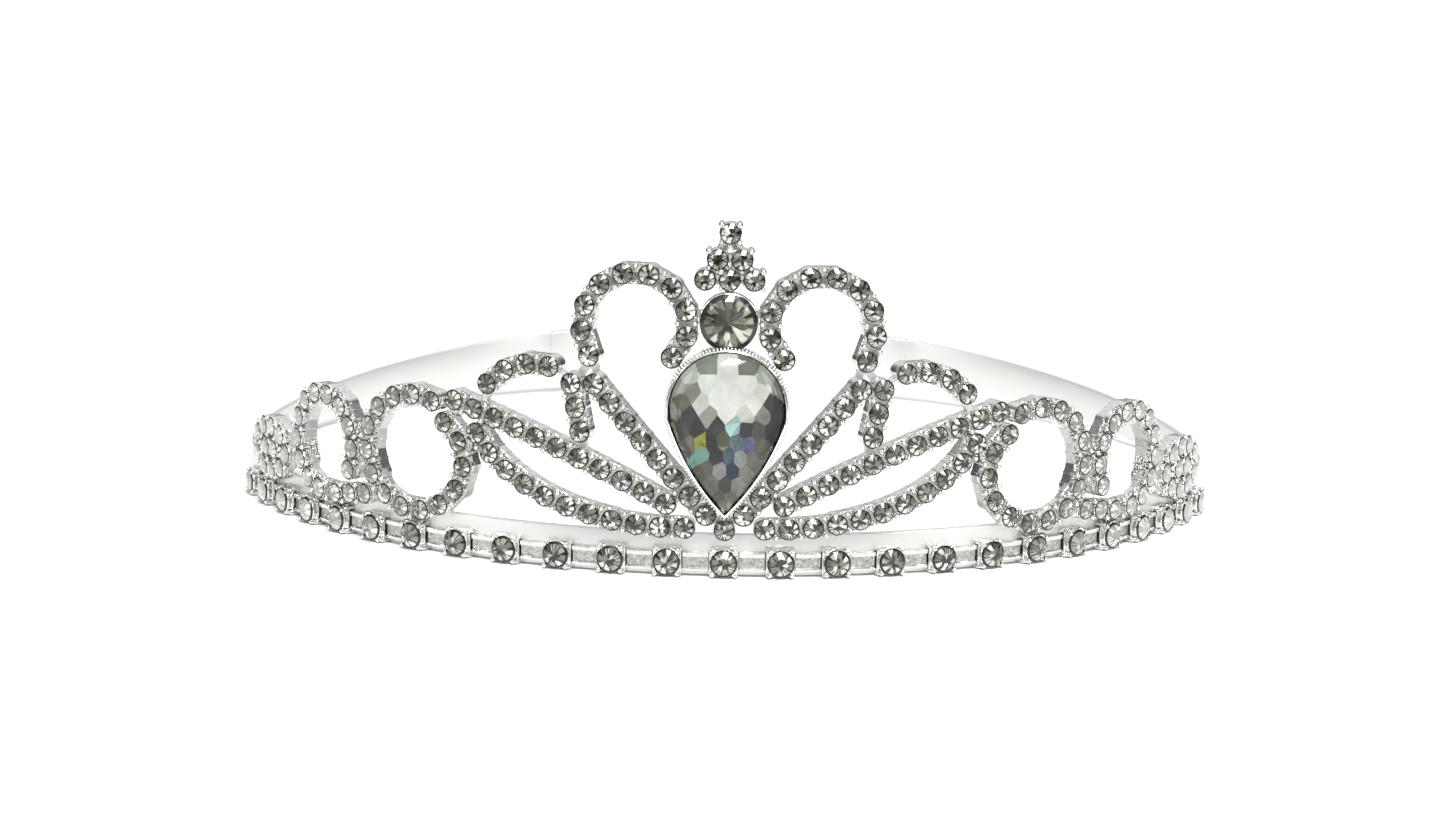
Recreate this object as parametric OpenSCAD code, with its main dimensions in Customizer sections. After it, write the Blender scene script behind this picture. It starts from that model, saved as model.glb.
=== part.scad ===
// Bridal tiara: a sprung headband hoop with a rim of square stone cups, and an ornament
// of bent stone rails standing on it around a pear stone, a round stone and a peak.
//
// Millimetres. The hoop lies flat on the XY plane with its front towards -Y and its open
// back towards +Y; the ornament stands up along +Z. The origin is under the middle of the
// tiara's footprint. Places on the ornament are given along the hoop and above the base
// row, both counted in stone pitches, so the layout follows the small stones' size.

/* [Headband] */
// Radius of the band's outer face
band_r = 63.2; // [50:0.1:80]
// Height of the band
band_h = 4.9; // [3:0.1:9]
// Thickness of the band's metal
band_t = 0.8; // [0.5:0.05:2]
// Half of the angle the band covers, from the front round to one end
band_half_angle = 158.8; // [120:0.1:170]
// Radius of the upward sweep of the two arms, which starts where the hoop is widest
arm_sweep_r = 330; // [150:5:900]
// Length of the folded-over hem at each end
hem_len = 5.3; // [2:0.1:12]
// Thickness of the folded-over hem
hem_t = 0.6; // [0.3:0.05:1.5]

/* [Rim chain] */
// Diameter of a rim stone
rim_stone_d = 3.0; // [2:0.1:5]
// Width of metal around a rim stone
rim_wall = 0.18; // [0.1:0.01:0.5]
// Distance from one rim stone to the next, along the band
rim_pitch = 6.36; // [4.5:0.01:10]
// Number of rim cups on each side of the middle one
rim_side_count = 12; // [4:1:20]
// Depth of a rim cup, front to back
rim_depth = 1.6; // [1.2:0.1:3]
// Height of a rim link
rim_link_h = 2.2; // [1:0.1:4]
// Height of the raised bars along a rim link's edges
rim_bar_h = 0.45; // [0.2:0.05:0.8]
// Gap under the rim cups, above the band's bottom edge
rim_lift = 0.05; // [0.02:0.01:0.5]

/* [Small stones] */
// Diameter of a small stone
stone_d = 2.3; // [1.5:0.05:4]
// Width of metal around a small stone
stone_wall = 0.13; // [0.08:0.01:0.4]
// Least gap between two neighbouring small cups
link_gap = 0.15; // [0.05:0.01:0.6]
// Depth of a small cup, front to back
cup_depth = 1.5; // [1:0.1:3]
// Width of the strip that joins the small cups
strip_w = 2.3; // [0.8:0.1:2.5]
// Thickness of the strip that joins the small cups
strip_t = 1.0; // [0.3:0.05:1.2]
// Diameter of the bead on a claw
bead_d = 0.56; // [0.3:0.02:1]
// Distance of a bead from the middle line of its rail, in pitches
bead_out = 0.36; // [0.2:0.01:0.5]

/* [Pear stone] */
// Width of the pear stone
pear_w = 13; // [8:0.5:20]
// Length of the pear stone
pear_len = 18.5; // [12:0.5:28]
// Angle below the widest point at which the round top gives way to the flanks
pear_shoulder = 20; // [5:1:28]
// Width of the bezel wall around the pear stone
pear_wall = 0.42; // [0.2:0.02:1]
// Depth of the bezel, front to back
pear_bezel_depth = 3.0; // [2:0.1:5]
// Height of the pear stone's crown above the bezel
pear_crown = 1.4; // [0.6:0.1:3]

/* [Round stone] */
// Diameter of the round stone
round_d = 6.3; // [3:0.1:10]
// Width of metal around the round stone
round_wall = 0.2; // [0.1:0.02:0.6]
// Depth of the round stone's cup
round_depth = 1.7; // [1.5:0.1:2]
// How far the round cup is tucked in behind the edge of the pear's bezel
round_tuck = 0.5; // [0:0.05:0.6]

/* [Ornament layout] */
// Gap between the base cup and the tip of the pear's bezel
pear_gap = 0.3; // [0.1:0.1:3]
// Heights of the peak's second row and top stone above its first row, in cup widths
peak_rise = [0.9, 2.05];
// Gap between neighbouring cups in a row of the peak
peak_gap = 0.19; // [0.05:0.01:0.6]
// Radius of the heart scrolls, in pitches
heart_r = 2.29; // [1.5:0.01:3]
// Number of stones in a heart scroll
heart_count = 10; // [6:1:14]
// Height of the heart scrolls' middles under the round stone's middle, in pitches
heart_drop = 0.373; // [0:0.005:1.5]
// Top of an inner ray from its heart scroll's middle: along the hoop, up, in pitches
ray_from_heart = [1.7, -2.4];
// Lower end of an inner ray, from above the base cup's middle, in pitches
ray_foot = [0.78, 0.62];
// Number of stones in a heart stem
stem_count = 3; // [1:1:5]
// Number of stones in an inner ray
ray_count = 8; // [4:1:12]
// Inner end of the middle rail: along the hoop, above the base row
middle_in = [2.44, 1.31];
// Outer end of the middle rail
middle_out = [11.96, 4.98];
// Upward bow of the middle rail, in pitches
middle_bow = 0.27; // [0:0.01:1]
// Number of stones in a middle rail
middle_count = 11; // [6:1:16]
// Centre of the oval that the lower rail follows
lower_c = [2.18, 5.48];
// Half width and half height of that oval
lower_r = [9.27, 5.16];
// Number of stones in a lower rail
lower_count = 11; // [6:1:16]
// Centre of the side arch's oval
arch_c = [8.11, 3.64];
// Half width and half height of the side arch's oval
arch_r = [3.05, 3.2];
// Number of stones in a side arch
arch_count = 4; // [3:1:7]
// Place of the large scroll's middle along the hoop, in pitches
large_s = 14.16; // [13.9:0.01:15]
// Half width and half height of the large scroll
large_r = [2.78, 2.49];
// Number of stones in a large scroll
large_count = 15; // [10:1:20]
// Place of the small scroll's middle along the hoop, in pitches
small_s = 20.06; // [19.8:0.01:21]
// Radius of the small scroll, in pitches
small_r = 2.15; // [1.8:0.01:2.6]
// Number of stones around a small scroll
small_count = 12; // [8:1:16]
// Number of stones in the tail of a small scroll
small_tail_count = 3; // [1:1:5]
// Place of the end leaf's middle along the hoop, in pitches
leaf_s = 25.27; // [25:0.01:27]
// Half width and half height of the end leaf
leaf_r = [1.89, 1.0];
// Number of stones around an end leaf
leaf_count = 9; // [7:1:12]

/* [Hidden] */
$fn = 96;
// Sliding clearance between a stone and its cup
stone_fit = 0.03;
// Gap left between pieces that stand beside each other, and between pieces that all but touch
piece_gap = 0.1;
close_gap = 0.05;
// Gap between the rim cups and the row of small cups above them
row_gap = 0.14;
// Room beside a pair of claws, added to the gap between two cups
claw_room = 0.04;
// Height of the base cup above the base row, in pitches
base_cup_rise = 0.28;
// How far a heart scroll leans in over its gap to the round cup, where its curl draws it away
heart_lean = 0.4;
// Thickness of the cup floor under a stone's point
cup_floor = 0.45;
// Straight edge, table width share and crown height share of a stone's diameter
girdle_share = 0.05;
table_share = 0.55;
crown_share = 0.16;
// Chamfer along the band's edges, and number of sections in each half of the band
band_chamfer = 0.15;
band_steps = 64;
// Thickness and width of a solder bridge behind two rails
solder_t = 0.35;
solder_w = 1.1;
// How far a scroll's end curls in from its own oval
scroll_curl = 0.16;
overlap = 0.02;
// Depth of a stone's girdle below its cup's rim: small and rim stones, round stone, pear
stone_set = 0.12;
round_set = 0.2;
pear_set = 0.25;
// Thickness of the pear's straight edge, and width of the ledge under it
pear_girdle = 0.4;
pear_ledge = 0.2;
// How far the pear's back and its crown draw in, as shares of its half width
pear_back_share = 0.72;
pear_crown_share = 0.46;
// Width of a claw's post as a share of its bead
claw_share = 0.86;
// Angles round their ovals at which the rails start and end
lower_arc = [-20.4, -93.3];
arch_arc = [101.5, 43];
large_arc = [112, -225];
small_arc = [207, -84];
// End of a small scroll's tail beside the large scroll, in pitches
tail_end = [17.05, 0.28];
// Distance of the two inner leaf stones from the leaf's middle, in pitches
leaf_mid_out = 0.51;

cup_d = stone_d + 2 * stone_wall;
pitch = cup_d + link_gap + claw_room;
rim_cup = rim_stone_d + 2 * rim_wall;
rim_z = rim_lift + rim_cup / 2;
base_z = rim_lift + rim_cup + row_gap + cup_d / 2;
face_r = band_r + cup_depth;
pear_rad = pear_w / 2 + pear_wall;
pear_drop = pear_len - pear_w / 2 + pear_wall;
base_cup_z = base_z + base_cup_rise * pitch;
pear_z = base_cup_z + cup_d / 2 + pear_gap + pear_drop;
round_rad = round_d / 2 + round_wall;
round_z = pear_z + pear_rad + close_gap + round_rad - round_tuck;
heart_rad = heart_r * pitch;
// Distance of a point from the pear's bezel; the flanks are arcs of a larger circle
flank_q = (pear_drop * pear_drop - pear_rad * pear_rad) / (2 * pear_rad - 2 * pear_drop * sin(pear_shoulder));
function from_pear(p) =
    let (x = abs(p[0]), y = p[1] - pear_z)
    atan2(y, x) > -pear_shoulder ? norm([x, y]) - pear_rad
    : norm([x + flank_q * cos(pear_shoulder), y - flank_q * sin(pear_shoulder)]) - flank_q - pear_rad;
// How far a row of cups has to move out to stand clear of the bezel
function push(path) = 1.3 * max(0, max([for (p = path) cup_d / 2 + close_gap - from_pear(p)]));
// Angles round its middle at which a heart scroll starts and ends
heart_from = -33;
heart_to = 217;
heart_near = [round_rad + close_gap - heart_lean + cup_d / 2 + heart_rad, round_z - heart_drop * pitch];
heart_c = heart_near + [push(heart_row(heart_near)), 0];
// Top of a heart stem from the top of its ray, its lean outwards on the way down, and the
// distance of its last stone from the middle rail, in pitches
stem_from_ray = [0.98, -0.03];
stem_lean = -0.41;
stem_stand = 1.13;
ray_near = [heart_c + pitch * ray_from_heart, [0, base_cup_z] + pitch * ray_foot];
ray_out = [push(even(ray_near, ray_count)), 0];
ray_top = ray_near[0] + ray_out;
ray_end = ray_near[1] + ray_out;
peak_row = round_z + round_rad + piece_gap + cup_d / 2;
pear_depth = pear_bezel_depth + pear_crown;
front_y = band_r + pear_depth;
back_y = band_r * -cos(band_half_angle);
shift_y = (front_y - back_y) / 2;

// ---- paths in [along the hoop, height] ----

// Point in pitches from the front and above the base row, to millimetres
function at(p) = [p[0] * pitch, base_z + p[1] * pitch];

// Points along an oval; the last part may curl inwards
function oval(c, r, a0, a1, curl = 0, steps = 72) =
    [for (i = [0 : steps]) let (u = i / steps, a = a0 + (a1 - a0) * u, k = 1 - curl * pow(u, 8))
        [c[0] + k * r[0] * cos(a), c[1] + k * r[1] * sin(a)]];

// Points along a line bowed to one side
function bowed(p, q, bow, steps = 40) =
    let (d = q - p, side = [-d[1], d[0]] / norm(d))
    [for (i = [0 : steps]) let (u = i / steps) p + d * u + side * bow * 4 * u * (1 - u)];

// Distance run along a path up to each of its points
function runs(p) =
    [for (i = 0, d = 0; i < len(p); d = d + (i + 1 < len(p) ? norm(p[i + 1] - p[i]) : 0), i = i + 1) d];

// The point a given distance along a path
function along(p, run, d) =
    let (i = min([for (k = [1 : len(p) - 1]) if (run[k] >= d - 0.0001) k]))
    p[i - 1] + (p[i] - p[i - 1]) * (d - run[i - 1]) / (run[i] - run[i - 1]);

// Evenly spaced points along a path, ends included
function even(p, n) =
    let (run = runs(p), total = run[len(p) - 1]) [for (i = [0 : n - 1]) along(p, run, total * i / (n - 1))];

function heart_row(c) = even(oval(c, [heart_rad, heart_rad], heart_from, heart_to, scroll_curl), heart_count);
heart_path = heart_row(heart_c);
ray_path = even([ray_top, ray_end], ray_count);
// The middle rail starts clear of the ray, further out when the ray leans lower
middle_room = max(0, cup_d + piece_gap - min([for (p = ray_path) norm(p - at(middle_in))]));
middle_start = at(middle_in) + [2 * middle_room, 0];
middle_path = even(bowed(middle_start, at(middle_out), middle_bow * pitch), middle_count);
// The stem runs down to the stone of the middle rail that lies under it, clear of the ray
function stem_end(top) =
    let (s = top[0] + stem_lean * pitch) [s, lookup(s, middle_path) + stem_stand * pitch];
stem_near = ray_top + pitch * stem_from_ray;
stem_room = max(0, cup_d + close_gap - norm((stem_near + stem_end(stem_near)) / 2 - ray_top));
stem_top = stem_near + [1.5 * stem_room, 0];
stem_foot = stem_end(stem_top);
stem_path = even([stem_top, stem_foot], stem_count);
lower_path = even(oval(at(lower_c), lower_r * pitch, lower_arc[0], lower_arc[1]), lower_count);
arch_path = even(oval(at(arch_c), arch_r * pitch, arch_arc[0], arch_arc[1]), arch_count);
large_c = at([large_s, large_r[1]]);
large_path = even(oval(large_c, large_r * pitch, large_arc[0], large_arc[1], scroll_curl), large_count);
small_c = at([small_s, small_r]);
small_ring = even(oval(small_c, [small_r, small_r] * pitch, small_arc[0], small_arc[1]), small_count);
small_tail = even([at([small_s - 1, 0]), at(tail_end)], small_tail_count);
small_path = concat(small_ring, small_tail);
leaf_c = at([leaf_s, leaf_r[1]]);
leaf_ring = even(oval(leaf_c, leaf_r * pitch, 180, -180), leaf_count + 1);
leaf_path = [for (i = [0 : leaf_count - 1]) leaf_ring[i]];
leaf_mid = [for (k = [-1, 1]) leaf_c + [k * leaf_mid_out * pitch, 0]];
peak_pitch = cup_d + peak_gap;
peak_rows = [0, peak_rise[0] * cup_d, peak_rise[1] * cup_d];
peak_path = [for (row = [0 : 2]) for (k = [0 : 2 - row])
    [(k - (2 - row) / 2) * peak_pitch, peak_row + peak_rows[row]]];

// ---- placing ----

// Moves a piece from the hoop's axis to the part's origin
module placed() { translate([0, shift_y, 0]) children(); }

// On the band's outer face: x along the hoop, y up, z outwards
module on_band(p, side = 1) {
    placed() rotate([0, 0, side * p[0] / face_r * 180 / PI])
        translate([0, -band_r, p[1]]) rotate([90, 0, 0]) children();
}

// ---- building blocks ----

// A round foiled stone whose girdle lies at height h above the cup's back
module round_gem(d, h, deep) {
    crown = crown_share * d;
    girdle = girdle_share * d;
    translate([0, 0, h - deep]) cylinder(h = deep, r1 = 0.02 * d, r2 = d / 2);
    translate([0, 0, h]) cylinder(h = girdle, r = d / 2);
    translate([0, 0, h + girdle]) cylinder(h = crown, r1 = d / 2, r2 = table_share * d / 2);
}

// The hollow a round stone sits in
module gem_seat(d, h, deep) {
    translate([0, 0, h - deep]) cylinder(h = deep, r1 = 0.02 * d + stone_fit, r2 = d / 2 + stone_fit);
    translate([0, 0, h - overlap / 2]) cylinder(h = d, r = d / 2 + stone_fit);
}

girdle_z = cup_depth - stone_set;
rim_girdle_z = rim_depth - stone_set;
stone_deep = girdle_z - cup_floor;
rim_deep = rim_girdle_z - cup_floor;
round_girdle_z = round_depth - round_set;
round_deep = round_girdle_z - cup_floor;
// Height the round stone's crown has reached where it passes under the pear's bezel
tuck_z = round_girdle_z + round_d * (girdle_share
    + crown_share * max(0, round_tuck - round_wall) / ((1 - table_share) * round_d / 2)) + close_gap;
pear_lip = pear_bezel_depth - pear_girdle - pear_set;

module small_cup_body() { cylinder(h = cup_depth, d = cup_d); }
module small_seat() { gem_seat(stone_d, girdle_z, stone_deep); }
module small_gem() { round_gem(stone_d, girdle_z, stone_deep); }

// One claw: a post with a domed bead on its end
module claw(tall, d) {
    cylinder(h = tall, d = d * claw_share);
    translate([0, 0, tall]) sphere(d = d);
}

// Half way between two places, x pointing from one to the other
module between(p, q, side = 1) {
    turn = atan2(q[1] - p[1], q[0] - p[0]);
    on_band((p + q) / 2, side) rotate([0, 0, side > 0 ? turn : 180 - turn]) children();
}

// A flat strip from one place to another; z is its underside
module strip(p, q, side, w, t, z = 0) {
    between(p, q, side) translate([-norm(q - p) / 2, -w / 2, z]) cube([norm(q - p), w, t]);
}

// The strip and the pair of claws between two neighbouring stones
module rail_link(p, q, side) {
    strip(p, q, side, strip_w, strip_t);
    between(p, q, side) {
        for (k = [-1, 1]) translate([0, k * bead_out * pitch, 0]) claw(cup_depth, bead_d);
        translate([-bead_d / 2, -bead_out * pitch, 0])
            cube([bead_d, 2 * bead_out * pitch, cup_depth * 0.6]);
    }
}

// A bent rail of small cups, on one side; a closed one joins its last cup to its first
module rail(path, side, closed = false) {
    last = len(path) - 1;
    color("silver") difference() {
        union() {
            for (p = path) on_band(p, side) small_cup_body();
            for (i = [0 : last - 1]) rail_link(path[i], path[i + 1], side);
            if (closed) rail_link(path[last], path[0], side);
        }
        for (p = path) on_band(p, side) small_seat();
    }
}

module gems(path) {
    color("lightsteelblue") for (side = [-1, 1]) for (p = path) on_band(p, side) small_gem();
}

// ---- headband ----

// Height of the band's lower edge at an angle round the hoop: flat in front, rising along the arms
function band_rise(a) =
    let (y = max(0, -band_r * cos(a))) arm_sweep_r - sqrt(arm_sweep_r * arm_sweep_r - y * y);

// Corners of the band's section, chamfered, as [radius, height]; seen with the outside on the right
function band_section(inner) =
    let (c = band_chamfer, r0 = inner, r1 = band_r)
    [[r0 + c, 0], [r1 - c, 0], [r1, c], [r1, band_h - c],
     [r1 - c, band_h], [r0 + c, band_h], [r0, band_h - c], [r0, c]];

module headband() {
    inner = band_r - band_t;
    hem_at = band_half_angle - hem_len / band_r * 180 / PI;
    // Angles of the sections from one end to the other; the fold's edge is a step within a hundredth
    right = concat([for (i = [0 : band_steps]) hem_at * i / band_steps], [hem_at + 0.01, band_half_angle]);
    last = len(right) - 1;
    angles = concat([for (i = [last : -1 : 1]) -right[i]], right);
    rings = [for (a = angles) [for (p = band_section(abs(a) > hem_at + 0.005 ? inner - hem_t : inner))
        [p[0] * sin(a), -p[0] * cos(a) + shift_y, p[1] + band_rise(a)]]];
    n = len(rings);
    faces = concat(
        [for (i = [0 : n - 2]) for (j = [0 : 7])
            [i * 8 + j, (i + 1) * 8 + j, (i + 1) * 8 + (j + 1) % 8, i * 8 + (j + 1) % 8]],
        [[for (j = [0 : 7]) j], [for (j = [7 : -1 : 0]) (n - 1) * 8 + j]]);
    color("gainsboro") polyhedron([for (ring = rings) for (p = ring) p], faces, 6);
}

// ---- rim chain ----

rim_angle = rim_pitch / band_r * 180 / PI;

module at_rim(i) {
    placed() rotate([0, 0, i * rim_angle]) translate([0, -band_r, rim_z]) rotate([90, 0, 0]) children();
}

module rim_cup_shape() {
    half = rim_cup / 2;
    difference() {
        union() {
            translate([-half, -half, 0]) cube([rim_cup, rim_cup, rim_depth * 0.55]);
            cylinder(h = rim_depth, d = rim_cup);
            for (x = [-1, 1]) for (y = [-1, 1])
                translate([x * (half - bead_d / 2), y * (half - bead_d / 2), 0]) claw(rim_depth, bead_d);
        }
        gem_seat(rim_stone_d, rim_girdle_z, rim_deep);
    }
}

module rim_cups() { color("silver") for (i = [-rim_side_count : rim_side_count]) at_rim(i) rim_cup_shape(); }

// A recessed plate with a raised bar along its upper and lower edges
module rim_link_shape() {
    clear = 2 * band_r * sin(rim_angle / 2) - rim_cup - 2 * stone_fit;
    plate_t = rim_depth * 0.3;
    translate([-clear / 2, -rim_link_h / 2, 0]) {
        cube([clear, rim_link_h, plate_t]);
        for (y = [0, rim_link_h - rim_bar_h]) translate([0, y, 0]) cube([clear, rim_bar_h, rim_depth * 0.5]);
    }
}

module rim_links() {
    color("silver") for (i = [-rim_side_count : rim_side_count - 1]) at_rim(i + 0.5) rim_link_shape();
}

module rim_stones() {
    color("lightsteelblue") for (i = [-rim_side_count : rim_side_count])
        at_rim(i) round_gem(rim_stone_d, rim_girdle_z, rim_deep);
}

// ---- pear stone ----

// A pear body of height h whose edge is drawn in by `from` at the back and `to` at the front
module pear_body(h, from, to) {
    drop = pear_drop;
    q = flank_q;
    flank_r = q + pear_rad;
    cylinder(h = h, r1 = pear_rad - from, r2 = pear_rad - to);
    intersection() {
        translate([q * cos(pear_shoulder), q * sin(pear_shoulder), 0])
            cylinder(h = h, r1 = flank_r - from, r2 = flank_r - to);
        translate([-q * cos(pear_shoulder), q * sin(pear_shoulder), 0])
            cylinder(h = h, r1 = flank_r - from, r2 = flank_r - to);
        translate([-drop, -2 * drop - pear_rad * sin(pear_shoulder), -1]) cube([2 * drop, 2 * drop, h + 2]);
    }
}

module pear_bezel() {
    color("silver") on_band([0, pear_z]) difference() {
        pear_body(pear_bezel_depth, 0, 0);
        translate([0, 0, pear_lip]) pear_body(pear_bezel_depth, pear_wall - stone_fit, pear_wall - stone_fit);
        translate([0, 0, cup_floor])
            pear_body(pear_lip - cup_floor + overlap, pear_rad * pear_back_share, pear_wall + pear_ledge);
        translate([0, round_z - pear_z, -overlap]) cylinder(h = tuck_z + overlap, r = round_rad + close_gap);
    }
}

module pear_stone() {
    back = pear_wall + pear_ledge + 2 * stone_fit;
    color("lightsteelblue") on_band([0, pear_z]) {
        translate([0, 0, cup_floor + piece_gap])
            pear_body(pear_lip - cup_floor - piece_gap + stone_fit,
                      pear_rad * pear_back_share + piece_gap, back);
        translate([0, 0, pear_lip + stone_fit]) pear_body(pear_girdle, pear_wall, pear_wall);
        translate([0, 0, pear_lip + stone_fit + pear_girdle])
            pear_body(pear_depth - pear_lip - stone_fit - pear_girdle, pear_wall, pear_rad * pear_crown_share);
    }
}

// ---- round stone, peak and base ----

module round_cup() {
    color("silver") on_band([0, round_z]) difference() {
        cylinder(h = round_depth, r = round_rad);
        gem_seat(round_d, round_girdle_z, round_deep);
    }
}

module round_stone() {
    color("lightsteelblue") on_band([0, round_z]) round_gem(round_d, round_girdle_z, round_deep);
}

// Cups in rows of three, two and one on a shared strip, with claws along the outside
module peak_setting() {
    step = peak_pitch;
    color("silver") difference() {
        union() {
            for (p = peak_path) on_band(p) small_cup_body();
            for (p = peak_path) for (q = peak_path)
                if ((q[1] > p[1] || q[1] == p[1] && q[0] > p[0]) && norm(q - p) < 1.45 * step)
                    strip(p, q, 1, strip_w, strip_t);
            for (side = [-1, 1]) for (row = [0 : 2]) for (up = [-1, 1])
                on_band([side * ((2 - row) / 2 * step + 0.4 * cup_d), peak_row + peak_rows[row] + up * 0.36 * step])
                    claw(cup_depth, bead_d);
        }
        for (p = peak_path) on_band(p) small_seat();
    }
}

module peak_stones() { color("lightsteelblue") for (p = peak_path) on_band(p) small_gem(); }

module base_cup() {
    color("silver") on_band([0, base_cup_z]) difference() { small_cup_body(); small_seat(); }
}

module base_stone() { color("lightsteelblue") on_band([0, base_cup_z]) small_gem(); }

// ---- end leaf: a ring of cups around two more ----

module end_leaf(side) {
    color("silver") difference() {
        union() {
            for (p = concat(leaf_path, leaf_mid)) on_band(p, side) small_cup_body();
            for (i = [0 : leaf_count - 1]) rail_link(leaf_path[i], leaf_path[(i + 1) % leaf_count], side);
            strip(leaf_path[0], leaf_c, side, strip_w, strip_t);
            strip(leaf_c, leaf_c + [leaf_r[0] * pitch, 0], side, strip_w, strip_t);
        }
        for (p = concat(leaf_path, leaf_mid)) on_band(p, side) small_seat();
    }
}

// ---- solder ----

// A flat bridge of solder across the backs of two cups
module bridge(p, q, side) { strip(p, q, side, solder_w, solder_t, -solder_t); }

// The point of a path nearest to a given one
function nearest(path, p) =
    let (d = [for (q = path) norm(q - p)], m = min(d)) path[search(m, d)[0]];

module rail_solder() {
    heart_foot = heart_path[0];
    color("lightgray") for (side = [-1, 1]) {
        bridge(heart_foot, ray_top, side);
        bridge(heart_foot, stem_top, side);
        bridge(stem_foot, nearest(middle_path, stem_foot), side);
        bridge(stem_top, arch_path[0], side);
        bridge(arch_path[arch_count - 1], nearest(middle_path, arch_path[arch_count - 1]), side);
        bridge(lower_path[0], nearest(middle_path, lower_path[0]), side);
        bridge(middle_path[middle_count - 1], large_path[0], side);
        bridge(middle_path[0], nearest(ray_path, middle_path[0]), side);
        bridge(heart_path[heart_count - 3], [0, round_z], side);
        bridge(nearest(small_ring, at([17.6, 2.5])), nearest(large_path, at([17, 2.5])), side);
        bridge(leaf_path[0], nearest(small_ring, leaf_path[0]), side);
    }
    color("lightgray") {
        bridge([0, round_z], [0, pear_z + pear_rad - 1.5], 1);
        bridge([0, round_z], peak_path[1], 1);
        bridge([0, base_cup_z], [0, pear_z - pear_drop + 1.5], 1);
        bridge([0, base_cup_z], ray_end, -1);
        bridge([0, base_cup_z], ray_end, 1);
    }
}

// Fillets on the band's top edge that hold the lowest cups
module band_solder() {
    feet = concat([for (i = [2 : 2 : 4]) lower_path[lower_count - i]], [nearest(large_path, [large_c[0], base_z])],
                  [nearest(small_path, [small_c[0], base_z]), nearest(leaf_path, [leaf_c[0], base_z])]);
    color("lightgray") {
        on_band([0, band_h]) translate([-solder_w / 2, 0, -band_t]) cube([solder_w, base_cup_z - band_h, band_t]);
        for (side = [-1, 1]) for (p = feet)
            on_band([p[0], band_h], side) translate([-solder_w / 2, 0, -band_t])
                cube([solder_w, max(0.4, p[1] - band_h), band_t]);
    }
}

// ---- nodes ----

headband();
rim_cups();
rim_links();
rim_stones();
pear_bezel();
pear_stone();
round_cup();
round_stone();
peak_setting();
peak_stones();
base_cup();
base_stone();
rail(heart_path, -1);  // left_heart_scroll
rail(heart_path, 1);  // right_heart_scroll
gems(heart_path);  // heart_stones
rail(stem_path, -1);  // left_heart_stem
rail(stem_path, 1);  // right_heart_stem
gems(stem_path);  // stem_stones
rail(ray_path, -1);  // left_inner_ray
rail(ray_path, 1);  // right_inner_ray
gems(ray_path);  // ray_stones
rail(middle_path, -1);  // left_middle_rail
rail(middle_path, 1);  // right_middle_rail
gems(middle_path);  // middle_rail_stones
rail(lower_path, -1);  // left_lower_rail
rail(lower_path, 1);  // right_lower_rail
gems(lower_path);  // lower_rail_stones
rail(arch_path, -1);  // left_side_arch
rail(arch_path, 1);  // right_side_arch
gems(arch_path);  // side_arch_stones
rail(large_path, -1);  // left_large_scroll
rail(large_path, 1);  // right_large_scroll
gems(large_path);  // large_scroll_stones
rail(small_path, -1);  // left_small_scroll
rail(small_path, 1);  // right_small_scroll
gems(small_path);  // small_scroll_stones
end_leaf(-1);  // left_end_leaf
end_leaf(1);  // right_end_leaf
gems(concat(leaf_path, leaf_mid));  // end_leaf_stones
rail_solder();
band_solder();
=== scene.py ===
import math
import random

import bmesh
import bpy
from mathutils import Matrix, Vector


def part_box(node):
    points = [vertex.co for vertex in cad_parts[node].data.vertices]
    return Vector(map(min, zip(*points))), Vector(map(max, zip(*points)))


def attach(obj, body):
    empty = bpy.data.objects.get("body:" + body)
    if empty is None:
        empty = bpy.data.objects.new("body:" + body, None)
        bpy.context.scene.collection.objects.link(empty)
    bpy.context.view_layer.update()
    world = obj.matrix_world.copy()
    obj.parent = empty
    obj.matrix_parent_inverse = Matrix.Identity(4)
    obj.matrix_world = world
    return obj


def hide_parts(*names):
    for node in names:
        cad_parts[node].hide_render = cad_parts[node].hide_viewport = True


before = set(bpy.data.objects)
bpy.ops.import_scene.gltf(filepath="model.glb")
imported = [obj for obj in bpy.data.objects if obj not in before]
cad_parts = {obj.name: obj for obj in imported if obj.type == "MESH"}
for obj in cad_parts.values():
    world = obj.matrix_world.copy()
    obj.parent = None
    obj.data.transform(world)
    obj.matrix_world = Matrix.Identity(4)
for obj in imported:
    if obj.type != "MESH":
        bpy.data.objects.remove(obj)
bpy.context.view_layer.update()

MM = 0.001
luck = random.Random(11)

# ---- the hoop's own measures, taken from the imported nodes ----

band_low, band_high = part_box("headband")
band_r = band_high[0]
axis = Vector((0, band_low[1] + band_r, 0))

# Sizes in millimetres; a height is counted outwards from the band's outer face
BAND_FRONT_TOP = 4.9
# How far the work stands back over the band, where it rises clear of it
BEHIND = -0.65
# Small stones, their cups, the claws beside them and the walls between them
STONE_R = 1.2
GIRDLE_Z = 1.38
STONE_BACK_Z = 0.5
CUP_R = 1.28
CUP_DEEP = 1.5
CLAW_R = 0.32
CLAW_OUT = 0.99
SADDLE_LONG = 2.5
SADDLE_WIDE = 2.46
SADDLE_TOP = 0.95
# Rim stones, their square cups and the links between them
RIM_STONE_R = 1.5
RIM_GIRDLE_Z = 1.48
RIM_HALF = 1.68
RIM_BLOCK_TOP = 0.9
LINK_LONG = 2.94
LINK_PLATE_TOP = 0.48


# ---- bench tools ----

def rest():
    """Leaves edit mode and lets go of everything."""
    if bpy.context.object and bpy.context.object.mode != 'OBJECT':
        bpy.ops.object.mode_set(mode='OBJECT')
    bpy.ops.object.select_all(action='DESELECT')


def hold(*pieces):
    """Selects these pieces alone, the first of them active."""
    rest()
    for piece in pieces:
        piece.select_set(True)
    bpy.context.view_layer.objects.active = pieces[0]


def settle(piece):
    """Puts a piece's place, turn and scale into its mesh."""
    hold(piece)
    bpy.ops.object.transform_apply(location=True, rotation=True, scale=True)
    return piece


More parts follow.
